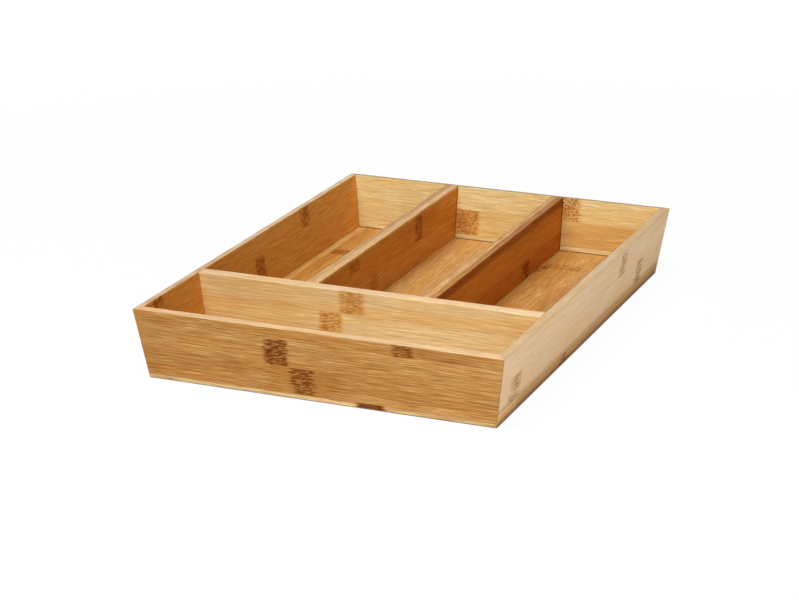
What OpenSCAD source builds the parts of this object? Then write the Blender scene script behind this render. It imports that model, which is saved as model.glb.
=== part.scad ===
// Bamboo cutlery tray for a kitchen drawer.
// Four walls lean outwards and are mitred at the corners. A floor panel sits in a groove round the walls.
// A cross divider closes off a front compartment, and two long dividers part the space behind it in three.
// Origin: middle of the tray on the surface that it stands on. X is to the right, Y to the back, Z up.

/* [Tray] */
// Width over the outer edges of the rim
tray_w = 255; // [220:1:320]
// Depth over the outer edges of the rim, front to back
tray_d = 355; // [300:1:450]
// Height to the inner edge of the rim
tray_h = 49; // [40:0.5:70]
// Rounding of the boards' long edges
edge_round = 0.6; // [0.2:0.1:1.5]

/* [Walls] */
// Thickness of a wall board
wall_t = 5.5; // [4.5:0.1:9]
// Outward lean of the walls, in degrees from upright
wall_lean = 8.5; // [0:0.5:15]

/* [Floor] */
// Thickness of the floor panel
floor_t = 4.5; // [3:0.1:8]
// Height of the floor panel's underside above the surface that the tray stands on
floor_lift = 5; // [3:0.5:10]
// How far the floor panel's upper edge goes into the walls
groove_depth = 2; // [1:0.1:2.5]
// Free height above the floor panel in its groove
groove_play = 0.3; // [0.1:0.05:0.6]

/* [Dividers] */
// Thickness of the three divider boards
divider_t = 9; // [5:0.5:14]
// Clear depth of the front compartment at the rim
front_room = 78; // [50:1:110]
// Clear width of the middle compartment
middle_room = 75; // [50:1:95]

/* [Joints] */
// How far a divider's tongue goes into its housing
housing_depth = 2; // [1:0.1:2.5]
// Height of plain board left between the rim and the top of a housing
housing_stop = 8; // [4:0.5:14]
// Width of a glue line
glue_gap = 0.1; // [0.05:0.01:0.2]

/* [Hidden] */
// Slope of the leaning faces: sideways run for each unit of height
lean_slope = tan(wall_lean);
// Thickness of a wall measured level
wall_level_t = wall_t / cos(wall_lean);
// The rim is square to the leaning board, so its outer edge lies lower than its inner edge
rim_drop = wall_t * sin(wall_lean);
rim_level_t = wall_t * cos(wall_lean);
// Half sizes over the walls' outer faces at the bottom
foot_x = tray_w / 2 - lean_slope * (tray_h - rim_drop);
foot_y = tray_d / 2 - lean_slope * (tray_h - rim_drop);
// Top of the floor panel, on which the dividers stand
floor_top = floor_lift + floor_t;
// Top of the dividers' tongues
tongue_top = tray_h - housing_stop;
// Places of the dividers
cross_y = -inner_face(foot_y, tray_h) + front_room + divider_t / 2;
cross_back_y = cross_y + divider_t / 2;
long_x = (middle_room + divider_t) / 2;
// Extra length by which a cutting shape passes the surface that it cuts
over = 1;
// Flats that make up a rounded edge
edge_steps = 5;

bamboo_wall = [0.79, 0.58, 0.34];
bamboo_floor = [0.74, 0.51, 0.28];
bamboo_divider = [0.83, 0.63, 0.40];

// Distance from the tray's middle to a wall's inner face at height z
function inner_face(foot, z) = foot - wall_level_t + lean_slope * z;

// Distance from the tray's middle to the floor panel's edge
function panel_edge(foot) = inner_face(foot, floor_top) + groove_depth;

// Points of the rounded corner b of an outline that runs counterclockwise from a through b to c
function round_corner(a, b, c) =
    let (
        to_a = (a - b) / norm(a - b),
        to_c = (c - b) / norm(c - b),
        half_angle = acos(to_a * to_c) / 2,
        bisector = (to_a + to_c) / norm(to_a + to_c),
        centre = b + bisector * edge_round / sin(half_angle),
        middle = atan2(-bisector[1], -bisector[0]),
        sweep = 180 - 2 * half_angle
    )
    [for (i = [0 : edge_steps])
        let (turn = middle + sweep * (i / edge_steps - 0.5))
        centre + edge_round * [cos(turn), sin(turn)]];

// Cross-section of a wall: outwards from the tray's middle, then up
module wall_section(foot) {
    rim_in = inner_face(foot, tray_h);
    corners = [
        [foot, 0],
        [rim_in + rim_level_t, tray_h - rim_drop],
        [rim_in, tray_h],
        [foot - wall_level_t, 0]
    ];
    last = len(corners) - 1;
    polygon([for (i = [0 : last])
        each round_corner(corners[i == 0 ? last : i - 1], corners[i], corners[i == last ? 0 : i + 1])]);
}

// Cross-section of a divider, with its two upper edges rounded
module divider_section() {
    low_left = [-divider_t / 2, floor_top];
    low_right = [divider_t / 2, floor_top];
    top_right = [divider_t / 2, tray_h];
    top_left = [-divider_t / 2, tray_h];
    polygon(concat(
        [low_left, low_right],
        round_corner(low_right, top_right, top_left),
        round_corner(top_right, top_left, low_left)
    ));
}

// Cross-section of the groove that holds the floor panel
module groove_section(foot) {
    mouth = inner_face(foot, floor_lift) - over;
    translate([mouth, floor_lift])
        square([panel_edge(foot) + glue_gap - mouth, floor_t + groove_play]);
}

// Cross-section of a stopped housing for a divider's tongue
module housing_section(foot) {
    top = tongue_top + glue_gap;
    reach = housing_depth + glue_gap;
    polygon([
        [inner_face(foot, floor_top) - over, floor_top],
        [inner_face(foot, floor_top) + reach, floor_top],
        [inner_face(foot, top) + reach, top],
        [inner_face(foot, top) - over, top]
    ]);
}

// Runs a cross-section along X, upright, with its outward side towards +Y
module run_along_x(length) {
    rotate([90, 0, 90])
        linear_extrude(height = length, center = true)
            children();
}

// Plan of a wall between its two mitres, each cut back by half a glue line
module mitre_plan(foot, foot_along) {
    near = foot - wall_level_t - over;
    far = foot + lean_slope * tray_h + over;
    cut_back = glue_gap / sqrt(2);
    half_near = near + foot_along - foot - cut_back;
    half_far = far + foot_along - foot - cut_back;
    polygon([[-half_near, near], [half_near, near], [half_far, far], [-half_far, far]]);
}

// A leaning wall on the +Y side. housings lists the places along X where dividers are let in.
module leaning_wall(foot, foot_along, housings = []) {
    length = 2 * (foot_along + lean_slope * tray_h + over);
    difference() {
        intersection() {
            run_along_x(length) wall_section(foot);
            translate([0, 0, -over])
                linear_extrude(height = tray_h + 2 * over) mitre_plan(foot, foot_along);
        }
        run_along_x(length) groove_section(foot);
        for (x = housings)
            translate([x, 0, 0])
                run_along_x(divider_t + 2 * glue_gap) housing_section(foot);
    }
}

module floor_panel() {
    size_x = 2 * panel_edge(foot_x);
    size_y = 2 * panel_edge(foot_y);
    color(bamboo_floor)
        translate([-size_x / 2, -size_y / 2, floor_lift])
            cube([size_x, size_y, floor_t]);
}

module front_wall() {
    color(bamboo_wall) rotate([0, 0, 180]) leaning_wall(foot_y, foot_x);
}

module back_wall() {
    color(bamboo_wall) leaning_wall(foot_y, foot_x, [-long_x, long_x]);
}

module left_wall() {
    color(bamboo_wall) rotate([0, 0, 90]) leaning_wall(foot_x, foot_y, [cross_y]);
}

module right_wall() {
    color(bamboo_wall) rotate([0, 0, -90]) leaning_wall(foot_x, foot_y, [-cross_y]);
}

// One end of a divider that meets a leaning wall, from its foot up to the rim
function leaning_end(foot) = [
    [inner_face(foot, floor_top) + housing_depth, floor_top],
    [inner_face(foot, tongue_top) + housing_depth, tongue_top],
    [inner_face(foot, tongue_top) - glue_gap, tongue_top],
    [inner_face(foot, tray_h) - glue_gap, tray_h]
];

// The board from side to side, with housings in its back for the two long dividers
module cross_divider() {
    right_end = leaning_end(foot_x);
    left_end = [for (i = [len(right_end) - 1 : -1 : 0]) [-right_end[i][0], right_end[i][1]]];
    slot_w = divider_t + 2 * glue_gap;
    slot_depth = housing_depth + glue_gap;
    slot_top = tongue_top + glue_gap;
    color(bamboo_divider)
        difference() {
            translate([0, cross_y, 0])
                intersection() {
                    rotate([90, 0, 0])
                        linear_extrude(height = divider_t + 2 * over, center = true)
                            polygon(concat(right_end, left_end));
                    run_along_x(tray_w) divider_section();
                }
            for (x = [-long_x, long_x])
                translate([x - slot_w / 2, cross_back_y - slot_depth, floor_top - over])
                    cube([slot_w, slot_depth + over, slot_top - floor_top + over]);
        }
}

// A board from the cross divider to the back wall
module long_divider(x) {
    back_end = leaning_end(foot_y);
    front_end = [
        [cross_back_y + glue_gap, tray_h],
        [cross_back_y + glue_gap, tongue_top],
        [cross_back_y - housing_depth, tongue_top],
        [cross_back_y - housing_depth, floor_top]
    ];
    color(bamboo_divider)
        translate([x, 0, 0])
            intersection() {
                run_along_x(divider_t + 2 * over) polygon(concat(back_end, front_end));
                rotate([0, 0, 90]) run_along_x(tray_d) divider_section();
            }
}

module left_divider() {
    long_divider(-long_x);
}

module right_divider() {
    long_divider(long_x);
}

floor_panel();
front_wall();
back_wall();
left_wall();
right_wall();
cross_divider();
left_divider();
right_divider();
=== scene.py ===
# Bamboo cutlery tray for a kitchen drawer: eight lacquered boards glued together, on a white studio table.
import math

import bmesh
import bpy
from mathutils import Matrix, Vector


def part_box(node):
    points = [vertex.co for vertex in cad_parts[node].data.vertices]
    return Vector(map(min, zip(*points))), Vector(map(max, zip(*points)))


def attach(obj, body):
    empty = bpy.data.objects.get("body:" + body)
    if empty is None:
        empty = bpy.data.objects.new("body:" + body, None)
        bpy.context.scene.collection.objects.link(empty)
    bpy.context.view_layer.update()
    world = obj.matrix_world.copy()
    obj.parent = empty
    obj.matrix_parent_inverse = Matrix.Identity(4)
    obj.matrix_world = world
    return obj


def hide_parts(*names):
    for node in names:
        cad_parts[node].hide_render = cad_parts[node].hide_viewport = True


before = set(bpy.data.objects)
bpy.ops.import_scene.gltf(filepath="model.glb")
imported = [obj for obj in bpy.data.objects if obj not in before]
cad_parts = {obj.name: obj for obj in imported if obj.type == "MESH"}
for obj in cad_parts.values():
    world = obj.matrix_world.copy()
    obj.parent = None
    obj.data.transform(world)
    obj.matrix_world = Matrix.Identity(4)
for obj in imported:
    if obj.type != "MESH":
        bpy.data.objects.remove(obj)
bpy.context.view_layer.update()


# Floor panel
# A flat panel of bamboo strips glued edge to edge, with their grain from front to back. It is planed to one
# thickness, its edges are eased by sanding, and it lies in a groove that runs round inside the four walls.

mm = 0.001
floor_low, floor_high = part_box("floor_panel")
floor_size = floor_high - floor_low
eased_edge = 0.3 * mm
sharp_angle = math.radians(50)


def sawn_board(name, size, middle, lean=0.0):
    """Adds a board of that size about its middle, leaning towards +Y, with its place in its mesh."""
    bpy.ops.object.select_all(action="DESELECT")
    bpy.ops.mesh.primitive_cube_add(size=1, location=middle, rotation=(-lean, 0, 0), scale=size)
    board = bpy.context.object
    board.name = name
    board.data.name = name
    bpy.ops.object.transform_apply(location=True, rotation=True, scale=True)
    return board


def sand(board):
    """Eases every sharp edge of the board, and shades it so that its flat faces stay flat."""
    bpy.ops.object.mode_set(mode="OBJECT")
    bpy.ops.object.select_all(action="DESELECT")
    board.select_set(True)
    bpy.context.view_layer.objects.active = board
    ease = board.modifiers.new("eased edges", "BEVEL")
    ease.width = eased_edge
    ease.segments = 2
    ease.limit_method = "ANGLE"
    ease.angle_limit = sharp_angle
    bpy.ops.object.modifier_apply(modifier=ease.name)
    bpy.ops.object.shade_smooth_by_angle(angle=sharp_angle)
    flat = board.modifiers.new("flat faces", "WEIGHTED_NORMAL")
    flat.keep_sharp = True
    bpy.ops.object.modifier_apply(modifier=flat.name)


def feed(tree, socket, value):
    """Joins a socket to another node's output, or sets it to a plain value."""
    if isinstance(value, bpy.types.NodeSocket):
        tree.links.new(value, socket)
    else:
        socket.default_value = value


def work_out(tree, operation, *values):
    """A Math node."""
    node = tree.nodes.new("ShaderNodeMath")
    node.operation = operation
    for socket, value in zip(node.inputs, values):
        feed(tree, socket, value)
    return node.outputs[0]


def fade(tree, value, start, end):
    """0 where the value is at start, 1 where it is at end, and a smooth step between them."""
    node = tree.nodes.new("ShaderNodeMapRange")
    node.interpolation_type = "SMOOTHSTEP"
    feed(tree, node.inputs["Value"], value)
    node.inputs["From Min"].default_value = start
    node.inputs["From Max"].default_value = end
    return node.outputs["Result"]


def mix_colours(tree, share, first, second, kind="MIX"):
    """A Mix node for two colours."""
    node = tree.nodes.new("ShaderNodeMix")
    node.data_type = "RGBA"
    node.blend_type = kind
    share_socket, first_socket, second_socket = node.inputs[0], node.inputs[6], node.inputs[7]
    feed(tree, share_socket, share)
    feed(tree, first_socket, (*first, 1) if isinstance(first, tuple) else first)
    feed(tree, second_socket, (*second, 1) if isinstance(second, tuple) else second)
    return node.outputs[2]


def browned(tree, colour, shade, brown):
    """The colour times the brown to the power of the shade, so that a negative shade makes it paler."""
    node = tree.nodes.new("ShaderNodeGamma")
    node.inputs["Color"].default_value = (*brown, 1)
    feed(tree, node.inputs["Gamma"], shade)
    return mix_colours(tree, 1.0, colour, node.outputs[0], "MULTIPLY")


def point(tree, *parts):
    """A vector of three values."""
    node = tree.nodes.new("ShaderNodeCombineXYZ")
    for socket, part in zip(node.inputs, parts):
        feed(tree, socket, part)
    return node.outputs[0]


def streaks(tree, place, length, breadth):
    """Noise drawn out along the strips: its spots have that length and breadth, in millimetres."""
    scaled = tree.nodes.new("ShaderNodeVectorMath")
    scaled.operation = "MULTIPLY"
    feed(tree, scaled.inputs[0], place)
    scaled.inputs[1].default_value = (1 / length, 1 / breadth, 1 / breadth)
    noise = tree.nodes.new("ShaderNodeTexNoise")
    noise.inputs["Scale"].default_value = 1
    noise.inputs["Detail"].default_value = 1
    feed(tree, noise.inputs["Vector"], scaled.outputs[0])
    return noise.outputs[0]


# The bamboo's lengths are in millimetres. A layer is a row of strips. Its board gives its first seam above
# the foot, the boldness of its grain, the length of its fibres and the strips' colours, from the foot up.
# The rest is as below unless the board says otherwise. A layer may also have a rim with its own colour,
# grain and drift, a height above which its painted joint shade starts, and a painted shade at its foot. A
# stain or a knuckle is given by its place along the board, its two edges from the foot and its width. Then
# come a stain's shade, which is negative where the bamboo is paler, or a knuckle's palest and darkest
# shade. A few stains are patches of painted light, not marks in the bamboo.
strip_width = 19
dark_brown = (0.34, 0.18, 0.07)
plain_layer = {
    "softness": 0.05,  # share of a strip over which its colour turns into the next one's
    "wavy": 1.8,  # how far the fibres swing to the side
    "drift": 0,  # shade that the layer gains with each millimetre along the board
    "stains_and_painted_light": [],
    "stain_and_painted_light_brown": dark_brown,
    "ragged": 7,  # how far the ends of a knuckle are frayed
    "dash": (2.2, 0.9),  # length and breadth of the dashes in a knuckle
    "clumpy": 0.5,  # how much the dashes gather in clumps
    "knuckle_brown": dark_brown,
    # At these joints and mitres the colour gets dark lines of painted shade, as if the gaps between boards
    # were in shadow.
    "cross_joints": [],  # places along the board where another board's edge meets it
    "end_joints": [],  # half lengths at the foot between the lines where the walls' mitres meet
    "lean": 0,  # how much those half lengths grow with each millimetre above the foot
}


def strip_tones(tree, position, colours, softness):
    """The strips' colours side by side. The position counts strips, and the softness is a share of one."""
    ramp = tree.nodes.new("ShaderNodeValToRGB")
    stops = ramp.color_ramp.elements
    stops.remove(stops[1])
    stops[0].color = (*colours[0], 1)
    for count in range(1, len(colours)):
        stops.new((count - softness / 2) / len(colours)).color = (*colours[count - 1], 1)
        stops.new((count + softness / 2) / len(colours)).color = (*colours[count], 1)
    feed(tree, ramp.inputs[0], work_out(tree, "DIVIDE", position, len(colours)))
    return ramp.outputs[0]


def fibres(tree, place, length):
    """Shade of the grain: fine fibres of that length, shorter ones among them, and broad streaks."""
    lengths_breadths_weights = [(length, 0.6, 1.3), (length / 3, 0.9, 0.45), (110, 8, 0.25)]
    shade = 0.0
    for run, breadth, weight in lengths_breadths_weights:
        part = work_out(tree, "SUBTRACT", streaks(tree, place, run, breadth), 0.5)
        shade = work_out(tree, "MULTIPLY_ADD", part, weight, shade)
    return shade


def patch(tree, along, across, middle, low, high, width):
    """1 on a patch of the board and 0 beside it, with long soft ends and short soft sides."""
    outer_end = 0.63 * width
    inner_end = 0.35 * width
    soft_side = 0.6
    from_middle = work_out(tree, "ABSOLUTE", work_out(tree, "SUBTRACT", along, middle))
    ends = fade(tree, from_middle, outer_end, inner_end)
    from_low = work_out(tree, "SUBTRACT", across, low)
    from_high = work_out(tree, "SUBTRACT", high, across)
    sides = fade(tree, work_out(tree, "MINIMUM", from_low, from_high), 0, soft_side)
    return work_out(tree, "MULTIPLY", ends, sides)


def stain_and_painted_light_shade(tree, along, across, layer):
    """Shade of the stains, plain patches where the bamboo is browner or paler, and of a few painted light
    patches.
    """
    shade = 0.0
    for *spot, depth in layer["stains_and_painted_light"]:
        shade = work_out(tree, "MULTIPLY_ADD", patch(tree, along, across, *spot), depth, shade)
    return shade


def knuckle_shade(tree, along, across, through, layer):
    """Shade of the knuckles, where the cane had its joints: short wavy dashes, some of them in clumps."""
    fray_size = (8, 1.2)
    wave_size = (2.2, 3.5)
    wave_height = 1.8
    clump_size = (7, 6)
    dash_blur = 0.12
    clumpy = layer["clumpy"]
    place = point(tree, along, across, through)
    fraying = work_out(tree, "SUBTRACT", streaks(tree, place, *fray_size), 0.5)
    frayed_along = work_out(tree, "MULTIPLY_ADD", fraying, layer["ragged"], along)
    wave = work_out(tree, "MULTIPLY_ADD", streaks(tree, place, *wave_size), wave_height, across)
    dashes = streaks(tree, point(tree, along, wave, through), *layer["dash"])
    clumps = streaks(tree, place, *clump_size)
    level = work_out(tree, "MULTIPLY_ADD", clumps, clumpy, dashes)
    filled = fade(tree, clumps, 0.4 * clumpy, clumpy)
    shade = 0.0
    for *spot, palest, darkest in layer["knuckles"]:
        dash_level = 0.6 + 0.5 * clumpy - 0.14 * darkest
        dark = fade(tree, level, dash_level - dash_blur, dash_level + dash_blur)
        depth = work_out(tree, "MULTIPLY_ADD", dark, darkest - palest, palest)
        inside = work_out(tree, "MULTIPLY", patch(tree, frayed_along, across, *spot), filled)
        shade = work_out(tree, "MAXIMUM", shade, work_out(tree, "MULTIPLY", depth, inside))
    return shade


def painted_joint_and_foot_shade(tree, along, across, layer):
    """Painted shade: dark lines where other boards meet this one, and a foot that is browned all along."""
    line_edge = 0.8
    line_core = 0.2
    painted_foot_shade_height = 5
    slant = work_out(tree, "MULTIPLY_ADD", across, -layer["lean"], work_out(tree, "ABSOLUTE", along))
    shade = 0.0
    for value, places in [(along, layer["cross_joints"]), (slant, layer["end_joints"])]:
        for place in places:
            distance = work_out(tree, "ABSOLUTE", work_out(tree, "SUBTRACT", value, place))
            shade = work_out(tree, "MAXIMUM", shade, fade(tree, distance, line_edge, line_core))
    if "painted_joints_above" in layer:
        above = work_out(tree, "GREATER_THAN", across, layer["painted_joints_above"])
        shade = work_out(tree, "MULTIPLY", shade, above)
    # Painted shade: the foot is browned towards the table, standing in for the shadow at the contact.
    if "painted_foot_shade" in layer:
        foot = work_out(tree, "MULTIPLY", fade(tree, across, painted_foot_shade_height, 0), layer["painted_foot_shade"])
        shade = work_out(tree, "MAXIMUM", shade, foot)
    return shade


def strip_colour(tree, along, across, through, layer):
    """Colour of a layer of strips: tones, rim, grain, seams, stains, knuckles, and painted joint and foot
    shade.
    """
    layer = {**plain_layer, **layer}
    strip_shift = 173.7
    swing_size = (120, 16)
    tint_size = (60, 7)
    warm_tint = (1.01, 0.97, 0.88)
    cool_tint = (0.99, 1.03, 1.12)
    seam_edge = 0.5
    seam_core = 0.05
    seam_darkness = 0.12
    palest_grain = -0.3
    position = work_out(tree, "DIVIDE", work_out(tree, "SUBTRACT", across, layer["seam"]), strip_width)
    position = work_out(tree, "ADD", position, 1)
    strip = work_out(tree, "FLOOR", position)
    colour = strip_tones(tree, position, layer["colours"], layer["softness"])
    on_face = 1.0
    if "rim" in layer:
        rim_full = layer["height"] - 0.1
        rim_start = layer["height"] - 0.4
        on_face = fade(tree, across, rim_full, rim_start)
        colour = mix_colours(tree, on_face, layer["rim"], colour)

    swing = streaks(tree, point(tree, along, across, through), *swing_size)
    wavy_across = work_out(tree, "MULTIPLY_ADD", swing, layer["wavy"], across)
    own_along = work_out(tree, "MULTIPLY_ADD", strip, strip_shift, along)
    own_place = point(tree, own_along, wavy_across, through)
    coolness = fade(tree, streaks(tree, own_place, *tint_size), 0.3, 0.7)
    tint = mix_colours(tree, coolness, warm_tint, cool_tint)
    colour = mix_colours(tree, 1.0, colour, tint, "MULTIPLY")

    from_seam = work_out(tree, "MULTIPLY", work_out(tree, "PINGPONG", position, 0.5), strip_width)
    seam = work_out(tree, "MULTIPLY", fade(tree, from_seam, seam_edge, seam_core), seam_darkness)
    rim_grain = layer.get("rim_grain", layer["grain"])
    boldness = work_out(tree, "MULTIPLY_ADD", on_face, layer["grain"] - rim_grain, rim_grain)
    grain = work_out(tree, "MULTIPLY_ADD", fibres(tree, own_place, layer["fibre"]), boldness, seam)
    rim_drift = layer.get("rim_drift", layer["drift"])
    slope = work_out(tree, "MULTIPLY_ADD", on_face, layer["drift"] - rim_drift, rim_drift)
    grain = work_out(tree, "MULTIPLY_ADD", along, slope, grain)
    colour = browned(tree, colour, work_out(tree, "MAXIMUM", grain, palest_grain), dark_brown)

    shades_and_browns = [
        (stain_and_painted_light_shade(tree, along, across, layer), layer["stain_and_painted_light_brown"]),
        (knuckle_shade(tree, along, across, through, layer), layer["knuckle_brown"]),
        (painted_joint_and_foot_shade(tree, along, across, layer), dark_brown),
    ]
    for shade, brown in shades_and_browns:
        colour = browned(tree, colour, work_out(tree, "MULTIPLY", shade, on_face), brown)
    return colour


def bamboo(name, along, up, foot, layers):
    """Lacquered bamboo strips that run along one direction and lie side by side in another.

    Places across the strips count from the foot. A second layer takes the half of the board past the foot.
    """
    plain_roughness = 0.42
    roughness_swing = 0.16
    relief_fibre = 20
    material = bpy.data.materials.new(name)
    material.use_nodes = True
    tree = material.node_tree
    shader = tree.nodes["Principled BSDF"]
    turn = Matrix((along, up, along.cross(up)))
    coordinates = tree.nodes.new("ShaderNodeTexCoord")
    turned = tree.nodes.new("ShaderNodeMapping")
    turned.inputs["Location"].default_value = -(turn @ foot) / mm
    turned.inputs["Rotation"].default_value = turn.to_euler()
    turned.inputs["Scale"].default_value = (1 / mm, 1 / mm, 1 / mm)
    feed(tree, turned.inputs["Vector"], coordinates.outputs["Object"])
    parts = tree.nodes.new("ShaderNodeSeparateXYZ")
    feed(tree, parts.inputs[0], turned.outputs[0])

    colour = strip_colour(tree, *parts.outputs, layers[0])
    if len(layers) > 1:
        past_foot = work_out(tree, "GREATER_THAN", parts.outputs[2], 0.0)
        colour = mix_colours(tree, past_foot, colour, strip_colour(tree, *parts.outputs, layers[1]))
    feed(tree, shader.inputs["Base Color"], colour)

    relief_height = fibres(tree, turned.outputs[0], relief_fibre)
    roughness = work_out(tree, "MULTIPLY_ADD", relief_height, roughness_swing, plain_roughness)
    feed(tree, shader.inputs["Roughness"], roughness)
    relief = tree.nodes.new("ShaderNodeBump")
    relief.inputs["Strength"].default_value = 0.25
    relief.inputs["Distance"].default_value = 0.1 * mm
    feed(tree, relief.inputs["Height"], relief_height)
    feed(tree, shader.inputs["Normal"], relief.outputs[0])
    shader.inputs["Specular IOR Level"].default_value = 0.07
    return material


def finish_board(board, material, node):
    """Gives the board its material and puts it in the place of its solid."""
    board.data.materials.append(material)
    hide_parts(node)
    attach(board, "root")


to_right = Vector((1, 0, 0))
to_back = Vector((0, 1, 0))
upright = Vector((0, 0, 1))
panel = sawn_board("floor_panel_board", floor_size, (floor_low + floor_high) / 2)
sand(panel)
plain_cane = (0.547, 0.287, 0.086)
golden_cane = (0.565, 0.280, 0.070)
pink_cane = (0.540, 0.305, 0.112)
floor_strips = [
    (plain_cane, 0.05), (golden_cane, 0.3), (pink_cane, 0.13), (plain_cane, 0.2), (plain_cane, 0.12),
    (plain_cane, 0.03), (pink_cane, 0.1), (plain_cane, -0.03), (plain_cane, 0.04), (golden_cane, 0.11),
    (plain_cane, 0.1), (pink_cane, 0.16), (plain_cane, 0.12), (plain_cane, 0.1),
]
groove_depth = 2
joint_inset = 0.45
floor_inside = floor_high.y / mm - groove_depth - joint_inset
floor_layer = {
    "seam": 8,
    "grain": 0.7,
    "fibre": 13,
    "drift": -0.0004,
    "colours": [
        tuple(part * brown**shade for part, brown in zip(cane, dark_brown)) for cane, shade in floor_strips
    ],
    "knuckles": [
        (126, 165, 179, 12, 0.05, 0.5),
        (127, 179, 195, 11, 0.05, 0.5),
        (117, 164, 171, 13, 0.2, 0.6),
        (100, 8, 27, 12, 0.1, 0.65),
        (-60, 198, 217, 10, 0, 0.4),
    ],
    "stains_and_painted_light": [(50, 190, 217, 60, 0.1), (97, 179, 191, 50, 0.08), (95, 16, 30, 150, -0.1)],
    "cross_joints": [-floor_inside, floor_inside],
}
floor_foot = Vector((floor_low.x, 0, floor_low.z))
floor_bamboo = bamboo("floor_bamboo", to_back, to_right, floor_foot, [floor_layer])
finish_board(panel, floor_bamboo, "floor_panel")


# Front wall
# A single layer of strips, 5.5 mm thick, that leans outwards. Its rim is planed square to the board and its
# long edges are rounded. It is mitred and glued to the side walls, and grooved inside for the floor panel.

tray_width = 255 * mm
tray_depth = 355 * mm
tray_height = 49 * mm
wall_thickness = 5.5 * mm
wall_lean = math.radians(8.5)
rounded_edge = 0.6 * mm
glue_line = 0.1 * mm
groove_play = 0.3 * mm
divider_thickness = 9 * mm
housing_depth = 2 * mm
housing_stop = 8 * mm
tongue_top = tray_height - housing_stop
sawing_spare = 5 * mm
rim_zone = 2 * mm
foot_zone = 0.01 * mm
up_the_wall = Vector((0, math.sin(wall_lean), math.cos(wall_lean)))
out_of_wall = Vector((0, math.cos(wall_lean), -math.sin(wall_lean)))
foot_inset = (tray_height - wall_thickness * math.sin(wall_lean)) * math.tan(wall_lean)
wall_height = foot_inset / math.sin(wall_lean) / mm
# In millimetres: half the front's length at the foot, and how far past a face's end its mitre's painted
# shade line lies
front_half_foot = (tray_width / 2 - foot_inset) / mm
mitre_shade_line = 0.4


def select_edges(board, wanted):
    """Opens the board in edit mode with only those edges selected whose two ends pass the test."""
    bpy.ops.object.mode_set(mode="EDIT")
    bpy.ops.mesh.select_mode(type="EDGE")
    bpy.ops.mesh.select_all(action="DESELECT")
    shape = bmesh.from_edit_mesh(board.data)
    for edge in shape.edges:
        edge.select_set(all(wanted(end.co) for end in edge.verts))
    bmesh.update_edit_mesh(board.data)


def round_edges(board, wanted):
    """Rounds the edges whose two ends pass the test."""
    select_edges(board, wanted)
    bpy.ops.mesh.bevel(offset=rounded_edge, segments=4, affect="EDGES")
    bpy.ops.object.mode_set(mode="OBJECT")


def saw_off(board, point_on_cut, waste):
    """Saws the board through at a point, square to a direction, and drops the side that it points to."""
    bpy.ops.object.mode_set(mode="EDIT")
    bpy.ops.mesh.select_all(action="SELECT")
    bpy.ops.mesh.bisect(plane_co=point_on_cut, plane_no=waste, use_fill=True, clear_outer=True)
    bpy.ops.object.mode_set(mode="OBJECT")


def cut_out(board, cutter):
    """Takes the cutter's shape out of the board."""
    bpy.ops.object.select_all(action="DESELECT")
    board.select_set(True)
    bpy.context.view_layer.objects.active = board
    cut = board.modifiers.new("cut", "BOOLEAN")
    cut.object = cutter
    bpy.ops.object.modifier_apply(modifier=cut.name)
    bpy.data.objects.remove(cutter)


def leaning_wall(name, rim_reach, rim_half_length, panel_reach, housings=()):
    """A wall on the +Y side. Its reaches count from the tray's middle, and its housings lie along X."""
    length = 2 * (rim_half_length + sawing_spare)
    height = tray_height + 4 * sawing_spare
    rim_inside = Vector((0, rim_reach - wall_thickness * math.cos(wall_lean), tray_height))
    inner_middle = rim_inside - up_the_wall * height / 2
    wall_middle = inner_middle + out_of_wall * wall_thickness / 2
    wall = sawn_board(name, (length, wall_thickness, height), wall_middle, wall_lean)
    round_edges(wall, lambda end: end.z > tray_height - rim_zone)

    groove_size = Vector((length, 2 * sawing_spare, floor_size.z + groove_play))
    groove_middle = (0, panel_reach + glue_line - groove_size.y / 2, floor_low.z + groove_size.z / 2)
    cut_out(wall, sawn_board("groove", groove_size, groove_middle))
    for place in housings:
        housing_size = Vector((divider_thickness + 2 * glue_line, 2 * sawing_spare, height))
        housing_middle = inner_middle + out_of_wall * (housing_depth + glue_line - housing_size.y / 2)
        housing_middle.x = place
        housing = sawn_board("housing", housing_size, housing_middle, wall_lean)
        saw_off(housing, (0, 0, tongue_top + glue_line), upright)
        saw_off(housing, (0, 0, floor_high.z), -upright)
        cut_out(wall, housing)

    saw_off(wall, (0, 0, 0), -upright)
    round_edges(wall, lambda end: end.z < foot_zone)
    mitre_reach = rim_half_length - glue_line / math.sqrt(2)
    for side in (-1, 1):
        saw_off(wall, (side * mitre_reach, rim_reach, 0), (side, -1, 0))
    sand(wall)
    return wall


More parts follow.
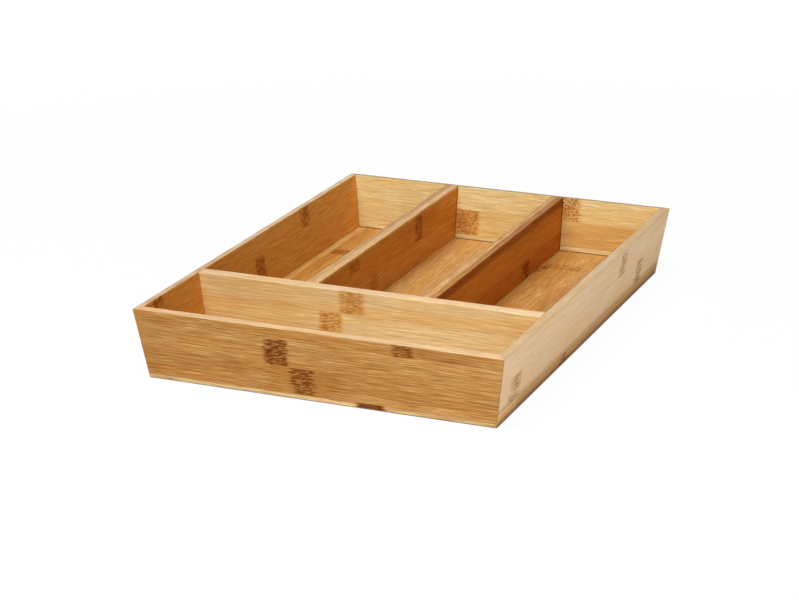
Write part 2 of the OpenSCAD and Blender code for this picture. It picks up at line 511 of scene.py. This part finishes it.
front_wall = leaning_wall("front_wall_board", tray_depth / 2, tray_width / 2, floor_size.y / 2)
front_wall.rotation_euler.z = math.pi
bpy.ops.object.transform_apply(rotation=True)
front_layer = {
    "height": wall_height,
    "seam": 3,
    "grain": 1.0,
    "fibre": 25,
    "drift": -0.0004,
    "dash": (5, 1.0),
    "clumpy": 0.2,
    "colours": [(0.656, 0.442, 0.208), (0.432, 0.202, 0.050), (0.465, 0.228, 0.062), (0.470, 0.224, 0.058)],
    "rim": (0.578, 0.380, 0.194),
    "rim_grain": 0.5,
    "lean": math.sin(wall_lean),
    "end_joints": [front_half_foot + mitre_shade_line],
    "knuckles": [
        (-27, 22, 41, 16, 0.1, 0.97),
        (-10, 9, 22, 16, 0.06, 0.84),
        (-9, 3, 10, 14, 0.05, 0.75),
        (60, 40, 49, 14, 0.08, 0.68),
        (36.5, 0, 4, 18, 0.6, 1.3),
        (-33, 3, 22, 18, 0, 0.15),
    ],
    "stains_and_painted_light": [
        (85, 41, 49, 50, 0.12),
        (-2, 3, 22, 40, 0.08),
        (-27, 22, 41, 15, 0.05),
        (60, 40, 49, 13, 0.12),
        (0, 35, 41, 330, -0.06),
        (75, 3, 9, 130, -0.1),
        (-75, 3, 9, 120, -0.05),
        (85, 0, 3, 110, 0.16),
    ],
}
front_up = Vector((0, -up_the_wall.y, up_the_wall.z))
front_foot = Vector((0, foot_inset - tray_depth / 2, 0))
front_bamboo = bamboo("front_wall_bamboo", to_right, front_up, front_foot, [front_layer])
finish_board(front_wall, front_bamboo, "front_wall")


# Back wall
# The front wall's twin, with two stopped housings on its inside that take the tongues of the long dividers.
# The housings end below the rim, so they don't show from above. Its outside is browner than its inside.

left_low, left_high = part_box("left_divider")
right_low, right_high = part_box("right_divider")
long_divider_places = [(left_low.x + left_high.x) / 2, (right_low.x + right_high.x) / 2]
back_wall = leaning_wall(
    "back_wall_board", tray_depth / 2, tray_width / 2, floor_size.y / 2, long_divider_places
)
orange_brown = (0.6, 0.22, 0.065)
back_outside = {
    "height": wall_height,
    "seam": 12.3,
    "grain": 0.45,
    "fibre": 16,
    "colours": [(0.60, 0.37, 0.15), (0.57, 0.34, 0.13), (0.60, 0.37, 0.15)],
    # The dark rim colour is painted shade: the rim tilts to the back, away from the lamp.
    "rim": (0.33, 0.22, 0.10),
    "knuckles": [(-28, 12.3, 31.3, 17, 0, 0.52), (53, 31.3, 49, 14, 0.1, 0.8)],
    "clumpy": 0.3,
    "stains_and_painted_light": [(-28, 12.3, 31.3, 19, 0.22), (88, 12.3, 31.3, 78, 0.18)],
    "stain_and_painted_light_brown": orange_brown,
    "knuckle_brown": (0.42, 0.18, 0.06),
}
back_inside = {
    **back_outside,
    "colours": [(0.713, 0.521, 0.241), (0.664, 0.461, 0.184), (0.703, 0.511, 0.225)],
    "painted_joints_above": floor_high.z / mm,
    "cross_joints": [face / mm for face in (left_low.x, left_high.x, right_low.x, right_high.x)],
    "lean": math.sin(wall_lean),
    "end_joints": [front_half_foot - wall_thickness * math.cos(wall_lean) / mm + mitre_shade_line],
}
back_foot = Vector((0, tray_depth / 2 - foot_inset, 0)) - out_of_wall * wall_thickness / 2
back_bamboo = bamboo("back_wall_bamboo", to_right, up_the_wall, back_foot, [back_outside, back_inside])
finish_board(back_wall, back_bamboo, "back_wall")


# Left wall and right wall
# Boards like the front and back ones, mitred to them at the corners, with their grain from front to back.
# Each has one stopped housing on its inside for an end of the cross divider.

cross_low, cross_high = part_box("cross_divider")
cross_place = (cross_low.y + cross_high.y) / 2

left_wall = leaning_wall(
    "left_wall_board", tray_width / 2, tray_depth / 2, floor_size.x / 2, [cross_place]
)
left_wall.rotation_euler.z = math.radians(90)
bpy.ops.object.transform_apply(rotation=True)
left_layer = {
    "height": wall_height,
    "seam": 14.4,
    "grain": 0.55,
    "fibre": 20,
    "drift": -0.0006,
    "dash": (4, 2.2),
    # These deep, saturated colours are partly the board's tone and partly painted shade, as its inner face
    # lies in shade.
    "colours": [(0.639, 0.261, 0.041), (0.628, 0.255, 0.041), (0.639, 0.261, 0.044)],
    "rim": (0.510, 0.350, 0.195),
    "rim_grain": 1.0,
    "knuckles": [
        (76, 33.4, 49, 14, 0.25, 0.55),
        (-4, 14.4, 33.4, 14, 0.3, 0.55),
        (-153, 33.4, 49, 14, 0.2, 0.6),
    ],
}
left_up = Vector((-up_the_wall.y, 0, up_the_wall.z))
left_foot = Vector((foot_inset - tray_width / 2, 0, 0))
left_bamboo = bamboo("left_wall_bamboo", to_back, left_up, left_foot, [left_layer])
finish_board(left_wall, left_bamboo, "left_wall")

right_wall = leaning_wall(
    "right_wall_board", tray_width / 2, tray_depth / 2, floor_size.x / 2, [-cross_place]
)
right_wall.rotation_euler.z = math.radians(-90)
bpy.ops.object.transform_apply(rotation=True)
right_layer = {
    "height": wall_height,
    "seam": 9.5,
    "grain": 0.3,
    "fibre": 30,
    "wavy": 6,
    "softness": 0.3,
    # Painted shade along the foot, standing in for the shadowed table near the contact that the lacquer
    # shows.
    "painted_foot_shade": 0.5,
    "ragged": 18,
    "dash": (4, 2.2),
    "knuckle_brown": (0.30, 0.145, 0.06),
    # The upper colours, far paler than the left wall's, are painted sheen: the lacquer's reflection of the
    # white table.
    "colours": [(0.655, 0.345, 0.105), (0.859, 0.585, 0.316), (0.870, 0.599, 0.336), (0.847, 0.574, 0.300)],
    "rim": (0.535, 0.366, 0.203),
    "rim_grain": 0.3,
    "lean": math.sin(wall_lean),
    "end_joints": [(tray_depth / 2 - foot_inset) / mm + mitre_shade_line],
    "knuckles": [
        (71, 27, 46, 13, 0.2, 0.42),
        (117, 8, 27, 14, 0.25, 0.45),
        (-144, 9, 28, 18, 0.15, 0.42),
        (-44, 0, 8, 12, 0.1, 0.6),
    ],
    # This paler patch at the front end of the foot weakens the painted foot shade there.
    "stains_and_painted_light": [(-165, 0, 9, 60, -0.2)],
}
right_up = Vector((up_the_wall.y, 0, up_the_wall.z))
right_foot = Vector((tray_width / 2 - foot_inset, 0, 0))
right_bamboo = bamboo("right_wall_bamboo", to_back, right_up, right_foot, [right_layer])
finish_board(right_wall, right_bamboo, "right_wall")


# Cross divider
# An upright board of strips, 9 mm thick, that runs from side to side and stands on the floor panel. Its
# tongues go into housings in the side walls, and two stopped housings in its back take the long dividers.


def inner_face(rim_reach, height):
    """Distance from the tray's middle to a wall's inner face at that height."""
    return rim_reach - wall_thickness * math.cos(wall_lean) - (tray_height - height) * math.tan(wall_lean)


def tongue(board, outwards):
    """Lengthens the lower part of the board's end that faces that way, so that it fills its housing."""
    facing = 0.9
    bpy.ops.object.mode_set(mode="EDIT")
    bpy.ops.mesh.select_all(action="SELECT")
    bpy.ops.mesh.bisect(plane_co=(0, 0, tongue_top), plane_no=(0, 0, 1))
    bpy.ops.mesh.select_mode(type="FACE")
    bpy.ops.mesh.select_all(action="DESELECT")
    shape = bmesh.from_edit_mesh(board.data)
    for face in shape.faces:
        face.select_set(face.normal.dot(outwards) > facing and face.calc_center_median().z < tongue_top)
    bmesh.update_edit_mesh(board.data)
    reach = outwards * (housing_depth + glue_line)
    bpy.ops.mesh.extrude_region_move(TRANSFORM_OT_translate={"value": reach})
    bpy.ops.object.mode_set(mode="OBJECT")


divider_height = tray_height / mm
cross_divider = sawn_board("cross_divider_board", cross_high - cross_low, (cross_low + cross_high) / 2)
round_edges(cross_divider, lambda end: end.z > cross_high.z - rim_zone)
for side in (-1, 1):
    end_point = (side * (inner_face(tray_width / 2, tray_height) - glue_line), 0, tray_height)
    saw_off(cross_divider, end_point, (side * math.cos(wall_lean), 0, -math.sin(wall_lean)))
    tongue(cross_divider, to_right * side)
for place in long_divider_places:
    slot_size = Vector((divider_thickness + 2 * glue_line, 2 * sawing_spare, tongue_top + glue_line))
    slot_middle = (place, cross_high.y - housing_depth - glue_line + slot_size.y / 2, slot_size.z / 2)
    cut_out(cross_divider, sawn_board("housing", slot_size, slot_middle))
sand(cross_divider)
cross_layer = {
    "height": divider_height,
    "seam": 14,
    "grain": 0.45,
    "fibre": 22,
    "drift": -0.0005,
    "dash": (4.5, 0.9),
    "clumpy": 0.25,
    "colours": [(0.72, 0.50, 0.21), (0.79, 0.60, 0.295), (0.762, 0.528, 0.233)],
    "rim": (0.646, 0.434, 0.238),
    "knuckles": [(-10, 33, 49, 17, 0.08, 0.52), (-25, 14, 33, 16, 0.06, 0.48)],
    "stains_and_painted_light": [
        (-100, 14, 33, 120, 0.14),
        (-10, 33, 49, 18, 0.1),
        (-25, 14, 33, 17, 0.14),
        (0, 30.5, 36, 260, 0.07),
    ],
    "stain_and_painted_light_brown": (0.7, 0.3, 0.05),
    "knuckle_brown": (0.45, 0.17, 0.05),
}
cross_foot = Vector((0, cross_place, 0))
cross_bamboo = bamboo("cross_divider_bamboo", to_right, upright, cross_foot, [cross_layer])
finish_board(cross_divider, cross_bamboo, "cross_divider")


# Long dividers
# Two like boards, each glued of two layers, that run from the cross divider to the back wall. Each end has
# a tongue, which goes into a stopped housing, and the rims show both layers.


def long_divider(name, low, high):
    """A board from the cross divider to the back wall."""
    divider = sawn_board(name, high - low, (low + high) / 2)
    round_edges(divider, lambda end: end.z > high.z - rim_zone)
    back_point = (0, inner_face(tray_depth / 2, tray_height) - glue_line, tray_height)
    saw_off(divider, back_point, (0, math.cos(wall_lean), -math.sin(wall_lean)))
    tongue(divider, to_back)
    saw_off(divider, (0, cross_high.y + glue_line, 0), -to_back)
    tongue(divider, -to_back)
    sand(divider)
    return divider


left_divider = long_divider("left_divider_board", left_low, left_high)
left_divider_layers = [
    {
        "height": divider_height,
        "seam": 16,
        "grain": 0.6,
        "fibre": 20,
        "colours": [(0.52, 0.26, 0.07), (0.54, 0.27, 0.07), (0.54, 0.27, 0.07)],
        "rim": (0.442, 0.248, 0.089),
        "rim_drift": 0.0008,
        "rim_grain": 0.8,
        "knuckles": [(40, 16, 35, 15, 0.1, 0.5)],
    },
    {
        "height": divider_height,
        "seam": 9,
        "grain": 0.55,
        "fibre": 20,
        "drift": -0.0003,
        # Darker and more saturated than the left-hand layer's: partly the layer's tone, partly painted
        # shade, as this face lies in shade.
        "colours": [
            (0.572, 0.220, 0.030), (0.605, 0.230, 0.033), (0.578, 0.195, 0.018), (0.640, 0.321, 0.076)
        ],
        "rim": (0.55, 0.324, 0.141),
        "rim_grain": 0.6,
        # This paler patch at the rear top is painted light, where more light falls on the face.
        "stains_and_painted_light": [(165, 37, 49, 80, -0.1)],
        "knuckles": [(93, 28, 47, 13, 0.4, 0.6), (-24, 38, 47, 17, 0.25, 0.5), (9, 15, 28, 14, 0.12, 0.35)],
    },
]
left_divider_foot = Vector((long_divider_places[0], 0, 0))
left_divider_bamboo = bamboo(
    "left_divider_bamboo", to_back, upright, left_divider_foot, left_divider_layers
)
finish_board(left_divider, left_divider_bamboo, "left_divider")

right_divider = long_divider("right_divider_board", right_low, right_high)
right_divider_layers = [
    {
        "height": divider_height,
        "seam": 12,
        "grain": 0.6,
        "fibre": 20,
        "colours": [(0.52, 0.26, 0.07), (0.54, 0.27, 0.07), (0.54, 0.27, 0.07)],
        "rim": (0.502, 0.272, 0.089),
        "rim_drift": 0.00075,
        "rim_grain": 1.2,
        "knuckles": [(-30, 12, 31, 15, 0.1, 0.5)],
    },
    {
        "height": divider_height,
        "seam": 5,
        "softness": 0.15,
        "grain": 0.55,
        "fibre": 20,
        # Darker and more saturated than the left-hand layer's: partly the layer's tone, partly painted
        # shade, as this face lies in shade.
        "colours": [
            (0.44, 0.122, 0.007), (0.44, 0.122, 0.007), (0.525, 0.166, 0.013), (0.316, 0.078, 0.005)
        ],
        "rim": (0.34, 0.135, 0.025),
        "rim_drift": 0.0007,
        "rim_grain": 1.0,
        "knuckles": [(91, 9, 22, 14, 0.35, 0.8)],
    },
]
right_divider_foot = Vector((long_divider_places[1], 0, 0))
right_divider_bamboo = bamboo(
    "right_divider_bamboo", to_back, upright, right_divider_foot, right_divider_layers
)
finish_board(right_divider, right_divider_bamboo, "right_divider")


# Studio table and surroundings
# A plain white table under the tray, in white surroundings that light it softly from all sides. Both look
# white to the camera and in the lacquer, and the table keeps some of the tray's shadow.

table_half = 4
table_drop = 0.05 * mm
table_seen_white = 0.95
table_mirrored_white = 0.35
plain_white_from = 0.4
plain_white_to = 0.9
contact_reach = 1.3 * mm
contact_shade = (0.10, 0.08, 0.06)
contact_closed = 0.35
contact_open = 0.85
surroundings_light = 0.06


def seen_or_mirrored(tree):
    """1 for what the camera sees straight, mirrored or through something, and 0 for light on things."""
    rays = tree.nodes.new("ShaderNodeLightPath")
    mirrored = work_out(tree, "MAXIMUM", rays.outputs["Is Glossy Ray"], rays.outputs["Is Transmission Ray"])
    return work_out(tree, "MAXIMUM", rays.outputs["Is Camera Ray"], mirrored)


bpy.ops.object.select_all(action="DESELECT")
bpy.ops.mesh.primitive_plane_add(size=2 * table_half, location=(0, 0, -table_drop))
table = bpy.context.object
table.name = "studio_table"
table_paint = bpy.data.materials.new("white_table")
table_paint.use_nodes = True
table_tree = table_paint.node_tree
table_shader = table_tree.nodes["Principled BSDF"]
table_shader.inputs["Base Color"].default_value = (0.8, 0.8, 0.8, 1)
table_shader.inputs["Roughness"].default_value = 1
table_shader.inputs["Specular IOR Level"].default_value = 0
table_rays = table_tree.nodes.new("ShaderNodeLightPath")
table_place = table_tree.nodes.new("ShaderNodeTexCoord")
away = table_tree.nodes.new("ShaderNodeVectorMath")
away.operation = "LENGTH"
feed(table_tree, away.inputs[0], table_place.outputs["Object"])
far_off = fade(table_tree, away.outputs["Value"], plain_white_from, plain_white_to)
seen_white = work_out(table_tree, "MULTIPLY_ADD", far_off, 1 - table_seen_white, table_seen_white)
mirrored_white = work_out(
    table_tree, "MULTIPLY_ADD", far_off, 1 - table_mirrored_white, table_mirrored_white
)
seen_white = work_out(table_tree, "MULTIPLY", table_rays.outputs["Is Camera Ray"], seen_white)
mirrored_white = work_out(table_tree, "MULTIPLY", seen_or_mirrored(table_tree), mirrored_white)
# Painted contact shadow: ambient occlusion darkens the white emission to a thin dark line along the tray's
# foot.
openness = table_tree.nodes.new("ShaderNodeAmbientOcclusion")
openness.inputs["Distance"].default_value = contact_reach
in_the_open = fade(table_tree, openness.outputs["AO"], contact_closed, contact_open)
white = table_tree.nodes.new("ShaderNodeEmission")
shaded_white = mix_colours(table_tree, in_the_open, contact_shade, (1.0, 1.0, 1.0))
feed(table_tree, white.inputs["Color"], shaded_white)
table_mix = table_tree.nodes.new("ShaderNodeMixShader")
feed(table_tree, table_mix.inputs[0], work_out(table_tree, "MAXIMUM", seen_white, mirrored_white))
feed(table_tree, table_mix.inputs[1], table_shader.outputs[0])
feed(table_tree, table_mix.inputs[2], white.outputs[0])
feed(table_tree, table_tree.nodes["Material Output"].inputs["Surface"], table_mix.outputs[0])
table.data.materials.append(table_paint)

surroundings = bpy.data.worlds.new("white_surroundings")
surroundings.use_nodes = True
bpy.context.scene.world = surroundings
sky = surroundings.node_tree.nodes["Background"]
sky.inputs["Color"].default_value = (1, 1, 1, 1)
sky_seen = seen_or_mirrored(surroundings.node_tree)
sky_strength = work_out(surroundings.node_tree, "MAXIMUM", sky_seen, surroundings_light)
feed(surroundings.node_tree, sky.inputs["Strength"], sky_strength)


# Studio lamps
# A wide soft lamp high above the front, a little to the left, leaves the boards' right-hand faces in shade.
# A weaker one, low on the right, lights the outside of the right wall.

lamp_width = 1.4
lamp_distance = 2.2


def soft_lamp(name, azimuth, elevation, power):
    """A square lamp that faces the tray. The azimuth counts from the front to the right, in degrees."""
    light = bpy.data.lights.new(name, "AREA")
    light.size = lamp_width
    light.energy = power
    lamp = bpy.data.objects.new(name, light)
    turn = math.radians(azimuth)
    rise = math.radians(elevation)
    level = math.cos(rise)
    direction = Vector((math.sin(turn) * level, -math.cos(turn) * level, math.sin(rise)))
    lamp.location = direction * lamp_distance
    lamp.rotation_euler = (-lamp.location).to_track_quat("-Z", "Y").to_euler()
    bpy.context.scene.collection.objects.link(lamp)


soft_lamp("main_lamp", -15, 65, 60)
soft_lamp("side_lamp", 45, 25, 16)


# Camera
# It looks at the tray from in front, to the right and a little above, through a long lens.

camera_place = Vector((0.5943, -1.4794, 0.5468))
camera_aim = Vector((-0.0015, -0.0312, 0.025))
camera_lens = bpy.data.cameras.new("camera")
camera_lens.sensor_width = 36
camera_lens.lens = 109.1
camera = bpy.data.objects.new("camera", camera_lens)
camera.location = camera_place
camera.rotation_euler = (camera_aim - camera_place).to_track_quat("-Z", "Y").to_euler()
bpy.context.scene.collection.objects.link(camera)
bpy.context.scene.camera = camera
bpy.context.scene.view_settings.view_transform = "Standard"
